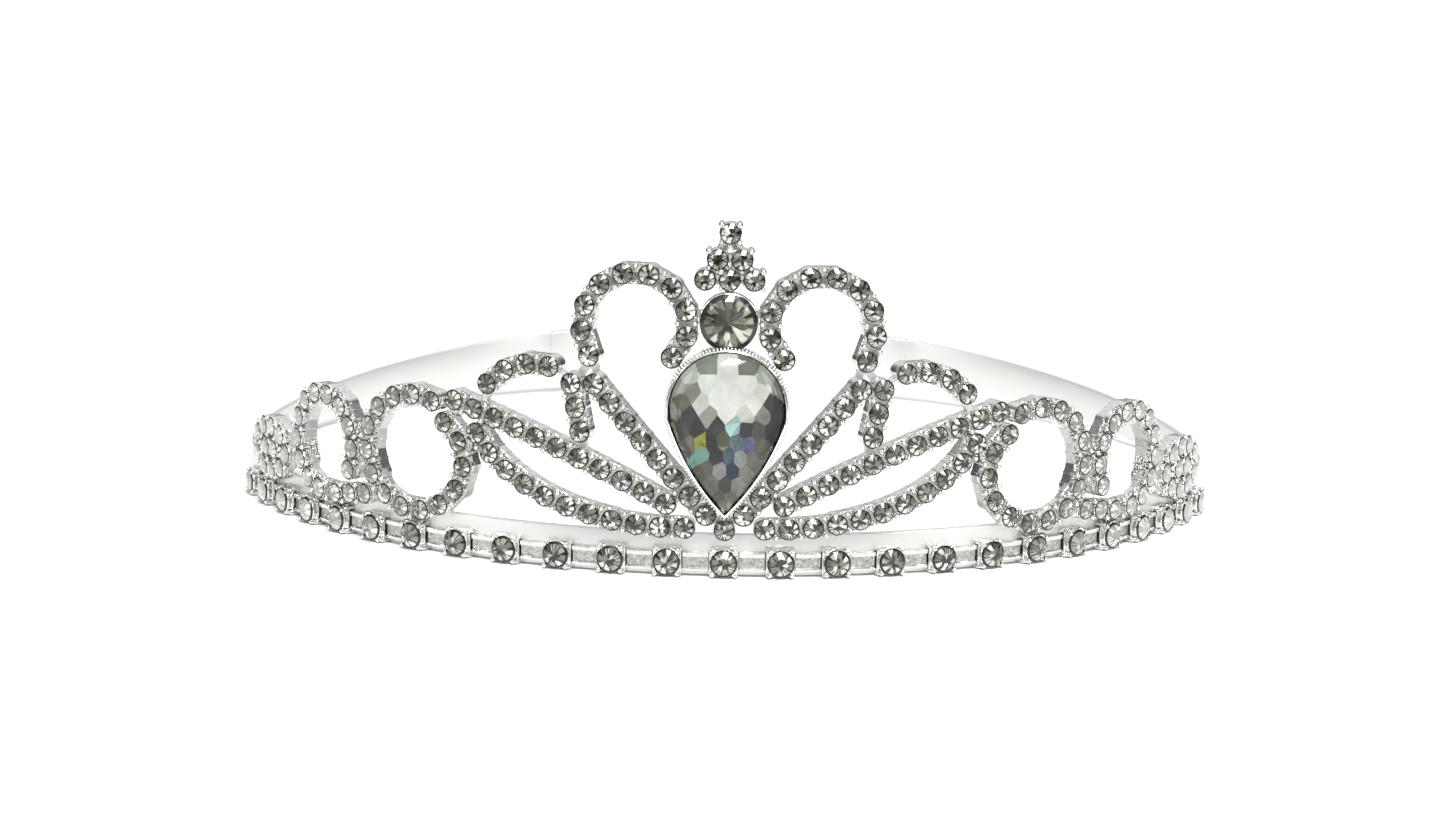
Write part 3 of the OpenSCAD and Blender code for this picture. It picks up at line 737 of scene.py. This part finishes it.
def make_rim_link():
    """A recessed plate with a scooped bar above it and a plain bar below."""
    plate = block("plate", (LINK_LONG, 2.0, LINK_PLATE_TOP), (0, 0, LINK_PLATE_TOP / 2), 0.03)
    plate.data.materials.append(PANEL)
    top = block("top_bar", (LINK_LONG, 0.5, 0.8), (0, 0.85, 0.4))
    shape(top)
    bpy.ops.mesh.subdivide(number_cuts=5)
    pick(top, lambda p, n: abs(p.x) < 1.1 and p.z > 0.5, 'VERT')
    bpy.ops.transform.translate(value=(0, -0.05 * MM, -0.1 * MM))
    pick(top, lambda p, n: abs(p.x) < 0.6 and p.z > 0.4, 'VERT')
    bpy.ops.transform.translate(value=(0, -0.03 * MM, -0.07 * MM))
    rest()
    finish_with(top, 'BEVEL', width=0.07 * MM, segments=2, limit_method='ANGLE')
    low = block("low_bar", (LINK_LONG, 0.4, 0.76), (0, -0.89, 0.38), 0.08, 2)
    for bar in (top, low):
        bar.data.materials.append(SILVER)
    return smooth(joined("rim_link", [plate, top, low]), 40)


small_stone = cut_stone("small_stone", STONE_R, GIRDLE_Z, STONE_BACK_Z)
rim_stone = cut_stone("rim_stone", RIM_STONE_R, RIM_GIRDLE_Z, STONE_BACK_Z)
# Each is made twice: one starts at the band's face, and one reaches back over the band
CUPS = {back: make_small_cup(back) for back in (0.0, BEHIND)}
CLAWS = {back: make_claw(back) for back in (0.0, BEHIND)}
SADDLES = {back: make_saddle(back) for back in (0.0, BEHIND)}
rim_cup = make_rim_cup()
rim_link = make_rim_link()
for pattern in (*CUPS.values(), *CLAWS.values()):
    pattern.data.materials.append(SILVER)


# ---- rails ----

def back_at(point):
    """Where the back of a cup lies: behind the band's face if the cup stands clear above the band."""
    return BEHIND if point.z > (BAND_FRONT_TOP + CUP_R) * MM else 0.0


def rail(name, stones, closed=False, loose=()):
    """A bent rail: a cup under every stone, and a wall with a pair of claws between neighbours."""
    parts = [copy_at(CUPS[back_at(p)], stand(p)) for p in list(stones) + list(loose)]
    pairs = list(zip(stones, stones[1:])) + ([(stones[-1], stones[0])] if closed else [])
    for p, q in pairs:
        place = between(p, q)
        back = max(back_at(p), back_at(q))
        parts.append(copy_at(SADDLES[back], place))
        for k in (-1, 1):
            parts.append(copy_at(CLAWS[back], place @ shift(y=k * CLAW_OUT)))
    return joined(name, parts)


def set_stones(name, node, pattern, finish, stones):
    """One piece of all the stones of a node, each with a lot drawn for it."""
    parts = [copy_at(pattern, stand(p), luck.random()) for p in stones]
    return dress(joined(name, parts), finish, node)


RAILS = {"heart_scroll": "heart_stones", "heart_stem": "stem_stones", "inner_ray": "ray_stones",
         "middle_rail": "middle_rail_stones", "lower_rail": "lower_rail_stones",
         "side_arch": "side_arch_stones", "large_scroll": "large_scroll_stones",
         "small_scroll": "small_scroll_stones"}

for rail_name, stone_node in RAILS.items():
    places = solids(stone_node)
    half = len(places) // 2
    set_stones("cut_" + stone_node, stone_node, small_stone, STONE, places)
    for side, own in (("left", places[:half]), ("right", places[half:])):
        node = side + "_" + rail_name
        dress(rail("silver_" + node, own), SILVER, node)

places = solids("end_leaf_stones")
half = len(places) // 2
set_stones("cut_end_leaf_stones", "end_leaf_stones", small_stone, STONE, places)
for side, own in (("left", places[:half]), ("right", places[half:])):
    node = side + "_end_leaf"
    dress(rail("silver_" + node, own[:-2], True, own[-2:]), SILVER, node)


# ---- peak and base cup ----

peak = sorted(solids("peak_stones"), key=lambda p: (round(p.z, 4), p.x))
set_stones("cut_peak_stones", "peak_stones", small_stone, STONE, peak)
parts = [copy_at(CUPS[BEHIND], stand(p)) for p in peak]
# Walls half as wide as the rails' join the cups that stand next to each other
NEXT_TO = 4.0 * MM
HALF_WIDE = Matrix.Diagonal((1, 0.5, 1, 1))
for i, p in enumerate(peak):
    for q in peak[i + 1:]:
        if (q - p).length < NEXT_TO:
            parts.append(copy_at(SADDLES[BEHIND], between(p, q) @ HALF_WIDE))
# Heavy claws above each row's ends and slight ones below
peak_claws = {1: make_claw(BEHIND, CUP_DEEP + 0.2, 0.38), -1: make_claw(BEHIND, CUP_DEEP, 0.26)}
for pattern in peak_claws.values():
    pattern.data.materials.append(SILVER)
for row in (peak[:3], peak[3:5], peak[5:]):
    for p, side in ((row[0], -1), (row[-1], 1)):
        for up in (-1, 1):
            parts.append(copy_at(peak_claws[up], stand(p) @ shift(side * 1.0, up * 0.98)))
dress(joined("silver_peak_setting", parts), SILVER, "peak_setting")

base = solids("base_stone")
set_stones("cut_base_stone", "base_stone", small_stone, STONE, base)
parts = [copy_at(CUPS[0.0], stand(base[0]))]
dress(joined("silver_base_cup", parts), SILVER, "base_cup")


# ---- rim ----

rim = solids("rim_stones")
set_stones("cut_rim_stones", "rim_stones", rim_stone, RIM_STONE, rim)
parts = [copy_at(rim_cup, stand(p)) for p in rim]
dress(joined("silver_rim_cups", parts), SILVER, "rim_cups")
parts = [copy_at(rim_link, between(p, q)) for p, q in zip(rim, rim[1:])]
dress(joined("silver_rim_links", parts), SILVER, "rim_links")
put_away(rim_cup, rim_link, rim_stone)


# ---- pear and round stones ----

pear_low, pear_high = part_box("pear_bezel")
PEAR_R = pear_high[0] / MM
PEAR_DROP = (pear_high[2] - pear_low[2]) / MM - PEAR_R
pear_stand = stand(Vector((0, axis.y - band_r, pear_high[2] - PEAR_R * MM)))
SHOULDER = math.radians(20)


def pear_edge(inset, round_steps, flank_steps):
    """Points of the pear's edge, drawn in by inset, from the tip up the right flank and round."""
    q = (PEAR_DROP ** 2 - PEAR_R ** 2) / (2 * PEAR_R - 2 * PEAR_DROP * math.sin(SHOULDER))
    cx, cy, r = q * math.cos(SHOULDER), q * math.sin(SHOULDER), q + PEAR_R - inset
    tip = -math.acos(cx / r)
    flank = [(-cx + r * math.cos(a), cy + r * math.sin(a))
             for a in [tip + (-SHOULDER - tip) * i / flank_steps for i in range(flank_steps)]]
    top = [((PEAR_R - inset) * math.cos(a), (PEAR_R - inset) * math.sin(a))
           for a in [-SHOULDER + (math.pi + 2 * SHOULDER) * i / round_steps for i in range(round_steps + 1)]]
    return flank + top + [(-x, y) for x, y in reversed(flank[1:])]


def ring_of(r, count, turn=0.0):
    """Points spaced evenly round a circle; a turn of 1 moves them on by a whole step."""
    steps = [2 * math.pi * (i + turn) / count for i in range(count)]
    return [(r * math.cos(a), r * math.sin(a)) for a in steps]


def wall(name, points_at, profile):
    """A walled piece drawn up from its edge through (inset, height) steps, closed at both ends."""
    rest()
    first = points_at(profile[0][0])
    bpy.ops.mesh.primitive_circle_add(vertices=len(first), radius=MM, fill_type='NGON')
    piece = bpy.context.object
    piece.name = name
    count = len(first)
    shape(piece)
    for step, (inset, z) in enumerate(profile):
        if step:
            bpy.ops.mesh.extrude_region_move(TRANSFORM_OT_translate={"value": (0, 0, 0.01 * MM)})
        mesh = bmesh.from_edit_mesh(piece.data)
        tag = mesh.verts.layers.int.get("turn") or mesh.verts.layers.int.new("turn")
        ring = [v for v in mesh.verts if v.select]
        if step == 0:
            for i, v in enumerate(sorted(ring, key=lambda v: v.index)):
                v[tag] = i
        for v in ring:
            x, y = points_at(inset)[v[tag]]
            v.co = Vector((x, y, z)) * MM
        bmesh.update_edit_mesh(piece.data)
    rest()
    return outward(piece)


def hull(name, rings):
    """The faceted body round several rings of points, each (points, height)."""
    rest()
    parts = []
    for points, z in rings:
        bpy.ops.mesh.primitive_circle_add(vertices=len(points), radius=MM)
        ring = bpy.context.object
        for vert, (x, y) in zip(ring.data.vertices, points):
            vert.co = Vector((x, y, z)) * MM
        parts.append(ring)
    body = joined(name, parts)
    shape(body)
    bpy.ops.mesh.remove_doubles(threshold=1e-7)
    bpy.ops.mesh.convex_hull(join_triangles=True, face_threshold=math.radians(1.5),
                             shape_threshold=math.radians(30))
    rest()
    return outward(body)


# How much less a facet counts distance up and down than across, which draws it out tall
FACET_SQUASH = 0.55
# The foil's dish in millimetres: its floor, its rise at the edge and its wall
DISH_FLOOR = 1.3
DISH_RISE = 1.04
DISH_WALL = 0.05
# Painted reflections on the pear's foil at places across it: x, y in millimetres from its round centre
PEAR_REFLECTIONS = [
    (0, 4.7, (0.78, 0.78, 0.73)), (-2.3, 5, (0.25, 0.27, 0.22)), (2.3, 5, (0.2, 0.21, 0.17)),
    (-4.3, 3.9, (0.5, 0.52, 0.46)), (4.3, 3.9, (0.42, 0.44, 0.38)), (-2.3, 3, (0.76, 0.77, 0.72)),
    (2.3, 3, (0.84, 0.84, 0.79)), (-5.5, 2.4, (0.3, 0.31, 0.25)), (5.6, 2.3, (0.2, 0.21, 0.17)),
    (-3.9, 1.9, (0.22, 0.22, 0.18)), (3.9, 2, (0.7, 0.7, 0.65)), (-1.2, 1.3, (0.86, 0.86, 0.81)),
    (1.2, 1.3, (0.78, 0.78, 0.74)), (-5, 0.8, (0.12, 0.12, 0.09)), (-2.9, 0.6, (0.62, 0.61, 0.56)),
    (3, 0.6, (0.8, 0.79, 0.74)), (5, 0.9, (0.03, 0.03, 0.035)), (-6, -0.3, (0.25, 0.25, 0.2)),
    (-4.3, -0.9, (0.04, 0.042, 0.046)), (-2.1, -0.8, (0.4, 0.39, 0.34)), (0, -0.5, (0.84, 0.83, 0.79)),
    (2.2, -0.6, (0.66, 0.65, 0.59)), (4.1, -0.7, (0.3, 0.29, 0.24)), (5.7, -0.6, (0.02, 0.024, 0.028)),
    (-3.4, -2.3, (0.06, 0.065, 0.07)), (-1.1, -2.1, (0.05, 0.05, 0.048)), (0.8, -2, (0.6, 0.9, 0.86)),
    (2.2, -2.3, (0.1, 0.07, 0.07)), (3.6, -2.3, (0.24, 0.22, 0.17)), (5, -2.3, (0.04, 0.044, 0.05)),
    (-5, -2.7, (0.2, 0.21, 0.17)), (-4.2, -4, (0.42, 0.42, 0.36)), (-2.9, -3.8, (0.94, 0.96, 0.1)),
    (-1.7, -3.8, (0.035, 0.035, 0.04)), (-0.4, -3.6, (0.25, 0.25, 0.13)), (1.2, -3.8, (0.3, 0.44, 0.52)),
    (2.5, -4, (0.42, 0.38, 0.75)), (3.9, -4.3, (0.36, 0.35, 0.28)), (-2.7, -5.1, (0.5, 0.92, 0.8)),
    (-1.1, -5.4, (0.05, 0.055, 0.06)), (0.3, -5.4, (0.12, 0.2, 0.26)), (1.6, -5.6, (0.85, 0.85, 0.87)),
    (3, -5.9, (0.5, 0.49, 0.42)), (-2.2, -6.8, (0.3, 0.3, 0.24)), (-0.7, -7, (0.78, 0.78, 0.75)),
    (0.8, -7, (0.04, 0.06, 0.16)), (2.2, -7.2, (0.62, 0.61, 0.54)), (-1.5, -8.5, (0.44, 0.44, 0.37)),
    (0, -8.6, (0.1, 0.1, 0.09)), (1.3, -8.6, (0.66, 0.65, 0.58)), (-0.5, -10.2, (0.3, 0.3, 0.23)),
    (0.6, -10.2, (0.44, 0.43, 0.36))]


def clipped(points, place, way):
    """The part of a convex outline on the near side of a line through place, square to way."""
    kept = []
    for p, q in zip(points, points[1:] + points[:1]):
        a, b = (p - place).dot(way), (q - place).dot(way)
        if a <= 0:
            kept.append(p)
        if a * b < 0:
            kept.append(p.lerp(q, a / (a - b)))
    return kept


def cut_foil(name, edge, painted_reflections, middle):
    """A shallow foiled dish cut into facets, one round each painted reflection, with a thin wall behind it.
    """
    outline = [Vector(p) for p in edge]
    middle = Vector(middle)
    walls = [(p, Vector((q.y - p.y, p.x - q.x))) for p, q in zip(outline, outline[1:] + outline[:1])]
    mesh = bmesh.new()
    painted_reflection = mesh.loops.layers.float_color.new("painted_reflection")
    for x, y, colour in painted_reflections:
        own = Vector((x, y))
        facet = outline
        for other_x, other_y, _ in painted_reflections:
            way = Vector((other_x, other_y)) - own
            if way.length > 0:
                facet = clipped(facet, own + way / 2, Vector((way.x, way.y * FACET_SQUASH)))
        corners = []
        for p in facet:
            near_edge = max((p - middle).dot(n) / (q - middle).dot(n) for q, n in walls)
            z = DISH_FLOOR + DISH_RISE * near_edge ** 1.8
            corners.append(mesh.verts.new(Vector((p.x, p.y, z)) * MM))
        for loop in mesh.faces.new(corners).loops:
            loop[painted_reflection] = (*colour, 1)
    bmesh.ops.remove_doubles(mesh, verts=mesh.verts, dist=0.02 * MM)
    data = bpy.data.meshes.new(name)
    mesh.to_mesh(data)
    mesh.free()
    foil = bpy.data.objects.new(name, data)
    bpy.context.collection.objects.link(foil)
    return finish_with(foil, 'SOLIDIFY', thickness=DISH_WALL * MM, offset=-1.0)


PEAR_WALL = 0.42
BEAD_STEP = 0.4
bezel_steps = [
    (0.2, 0.0), (0.0, 0.06), (0.0, 1.0), (0.07, 1.1), (0.0, 1.22), (0.0, 2.7), (0.05, 2.92), (0.16, 3.0),
    (0.27, 2.93), (0.33, 2.6), (0.45, 2.3), (0.9, 0.5)]
bezel = wall("pear_bezel_wall", lambda inset: pear_edge(inset, 44, 16), bezel_steps)
smooth(bezel, 35)
bezel.matrix_world = pear_stand
grain = turned("milgrain", 6, [(0.1, 0), (0.16, 0.1), (0.12, 0.22), (0.05, 0.26)])
smooth(grain, 80)
edge = pear_edge(0.02, 132, 60)
# Two lines of beads run round the wall, one low and one near its lip
walk, beads = 0.0, []
for (x0, y0), (x1, y1) in zip(edge, edge[1:] + edge[:1]):
    walk += math.hypot(x1 - x0, y1 - y0)
    if walk >= BEAD_STEP:
        walk -= BEAD_STEP
        way = math.atan2(x1 - x0, -(y1 - y0))
        for z in (0.55, 2.5):
            beads.append(copy_at(grain, pear_stand @ shift(x1, y1, z) @ Matrix.Rotation(way + math.pi, 4, 'Z')
                                 @ Matrix.Rotation(math.pi / 2, 4, 'Y')))
bezel = joined("silver_pear_bezel", [bezel] + beads)
dress(bezel, DEEP_SILVER, "pear_bezel")

inside = PEAR_WALL + 0.02
dish_middle = (0.0, -0.4)
crown = hull("pear_crystal", [
    (pear_edge(inside, 22, 8), 2.38), (pear_edge(inside, 22, 8), 2.78),
    (pear_edge(0.85, 22, 8), 3.2), (pear_edge(1.5, 11, 4), 3.62)])
crown.matrix_world = pear_stand
dress(settle(crown), CRYSTAL, "pear_stone")

foil = cut_foil("pear_foil", pear_edge(inside, 44, 16), PEAR_REFLECTIONS, dish_middle)
foil.matrix_world = pear_stand
dress(settle(foil), FOIL, "pear_stone")

# The round stone's own lot, which gives it its facets
ROUND_LOT = 0.42
round_stand = stand(solids("round_cup")[0])
ROUND_R = (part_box("round_cup")[1][0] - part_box("round_cup")[0][0]) / 2 / MM
GEM_R = (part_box("round_stone")[1][0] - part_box("round_stone")[0][0]) / 2 / MM
collar = turned("silver_round_cup", 48, [
    (ROUND_R - 0.07, 0), (ROUND_R, 0.1), (ROUND_R, 0.7), (ROUND_R - 0.07, 0.8), (ROUND_R, 0.9),
    (ROUND_R, 1.5), (ROUND_R - 0.04, 1.66), (ROUND_R - 0.1, 1.7), (GEM_R + 0.01, 1.62),
    (GEM_R - 0.02, 1.4), (GEM_R - 0.6, 0.9)])
smooth(collar, 40)
collar.matrix_world = round_stand
dress(settle(collar), DEEP_SILVER, "round_cup")
# The girdle, the star facets, the table and the blunt point behind
cut = hull("cut_round_stone", [
    (ring_of(GEM_R, 32), 1.5), (ring_of(GEM_R, 32), 1.7), (ring_of(0.79 * GEM_R, 16, 0.5), 2.2),
    (ring_of(GEM_R * 0.53, 8), 2.55), (ring_of(0.4, 8), 0.6)])
map_face(cut, GEM_R)
jewel = joined("cut_round_stone", [copy_at(cut, round_stand, ROUND_LOT)])
dress(jewel, ROUND_STONE, "round_stone")
put_away(cut)


# ---- headband and solder ----

def from_node(node, name):
    """A merged copy of a CAD node, ready to be finished."""
    rest()
    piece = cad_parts[node].copy()
    piece.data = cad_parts[node].data.copy()
    piece.parent = None
    for key in list(piece.keys()):
        del piece[key]
    piece.name = name
    bpy.context.collection.objects.link(piece)
    piece.matrix_world = Matrix.Identity(4)
    shape(piece)
    bpy.ops.mesh.remove_doubles(threshold=1e-6)
    bpy.ops.mesh.normals_make_consistent(inside=False)
    rest()
    return piece


band = from_node("headband", "satin_headband")
shape(band)
bpy.ops.mesh.dissolve_limited(angle_limit=math.radians(0.3))
rest()
finish_with(band, 'BEVEL', width=0.06 * MM, segments=2, limit_method='ANGLE', angle_limit=math.radians(25))
smooth(band, 30)
dress(band, SATIN, "headband")

for node in ("rail_solder", "band_solder"):
    blob = from_node(node, "soft_" + node)
    finish_with(blob, 'REMESH', mode='VOXEL', voxel_size=0.11 * MM)
    finish_with(blob, 'SMOOTH', factor=0.5, iterations=6)
    hold(blob)
    bpy.ops.object.shade_smooth()
    dress(blob, SOLDER, node)

put_away(small_stone, *CUPS.values(), *CLAWS.values(), *SADDLES.values(), *peak_claws.values(), grain)


# ---- floor, lights and camera ----

# The floor lies a hair below the band, so that the two don't share a plane
FLOOR_DROP = 0.00002
EYE = (0, -0.38566, 0.07663)
LOOK_DOWN = 0.1744
CAMERA_ROLL = math.radians(1.25)
LENS = 73.17
AIM_ACROSS = -0.003045
SOFTBOX_SIZE = (0.25, 0.6)
SOFTBOX_POWER = 1.6
SOFTBOX_AIM = (0, 0, 0.02)
KEY_POWER = 2.9
KEY_SPREAD = math.radians(24)
KEY_WAY = (-0.16, 0.62, -1.0)
SKY_POWER = 0.85

rest()
bpy.ops.mesh.primitive_plane_add(size=12, location=(0, 2.5, -FLOOR_DROP))
floor = bpy.context.object
floor.name = "pale_floor"
paint, tree, shader = material("pale_floor", (0.95, 0.95, 0.95), Roughness=0.9, Specular_IOR_Level=0.0)
# Painted reflection: the metal sees the floor as a pale table with a dark room round it; the camera sees one
# pale sweep
from_axis = new_node(tree, "ShaderNodeVectorMath", operation='LENGTH')
wire(tree, new_node(tree, "ShaderNodeNewGeometry").outputs["Position"], from_axis.inputs[0])
painted_room_tone = ramp(tree, span(tree, from_axis.outputs["Value"], 0.16, 0.36), (0.0, (0.8, 0.8, 0.8)),
                  (1.0, (0.12, 0.12, 0.12)))
seen = new_node(tree, "ShaderNodeLightPath").outputs["Is Camera Ray"]
wire(tree, mixed(tree, seen, painted_room_tone, (0.95, 0.95, 0.95)), shader.inputs["Base Color"])
floor.data.materials.append(paint)


def softbox(name, place):
    bpy.ops.object.light_add(type='AREA', location=place)
    lamp = bpy.context.object
    lamp.name = name
    lamp.data.shape = 'RECTANGLE'
    lamp.data.size, lamp.data.size_y = SOFTBOX_SIZE
    lamp.data.energy = SOFTBOX_POWER
    lamp.rotation_euler = (Vector(SOFTBOX_AIM) - Vector(place)).to_track_quat('-Z', 'Y').to_euler()


bpy.ops.object.light_add(type='SUN', location=(0.2, -0.8, 1.2))
key = bpy.context.object
key.name = "big_soft_key"
key.data.energy = KEY_POWER
key.data.angle = KEY_SPREAD
key.rotation_euler = Vector(KEY_WAY).to_track_quat('-Z', 'Y').to_euler()
softbox("left_softbox", (-0.8, -0.6, 0.35))
softbox("right_softbox", (0.8, -0.6, 0.35))

sky = bpy.data.worlds.new("studio")
bpy.context.scene.world = sky
sky.use_nodes = True
tree = sky.node_tree
glow = tree.nodes["Background"]
toward = new_node(tree, "ShaderNodeSeparateXYZ")
wire(tree, tree.nodes.new("ShaderNodeTexCoord").outputs["Generated"], toward.inputs[0])
# The sky is bright ahead and behind, dimmer to the sides and dim near the ground
sides = span(tree, maths(tree, 'ABSOLUTE', toward.outputs[0]), 0.35, 0.75, 1.0, 0.25)
height = span(tree, toward.outputs[2], 0.05, 0.6, 0.45, 1.0)
wire(tree, ramp(tree, maths(tree, 'MULTIPLY', sides, height), (0.0, (0.0, 0.0, 0.0)), (1.0, (1, 1, 1))),
     glow.inputs["Color"])
glow.inputs["Strength"].default_value = SKY_POWER

bpy.ops.object.camera_add(location=EYE)
camera = bpy.context.object
camera.name = "camera"
pitch = Matrix.Rotation(math.radians(90) - LOOK_DOWN, 4, 'X')
roll = Matrix.Rotation(CAMERA_ROLL, 4, 'Z')
camera.matrix_world = Matrix.Translation(camera.location) @ pitch @ roll
camera.data.sensor_fit = 'HORIZONTAL'
camera.data.sensor_width = 36
camera.data.lens = LENS
camera.data.shift_x = AIM_ACROSS
camera.data.clip_start = 0.01
camera.data.clip_end = 30
camera.data.dof.use_dof = False
scene = bpy.context.scene
scene.camera = camera
scene.view_settings.view_transform = 'Standard'
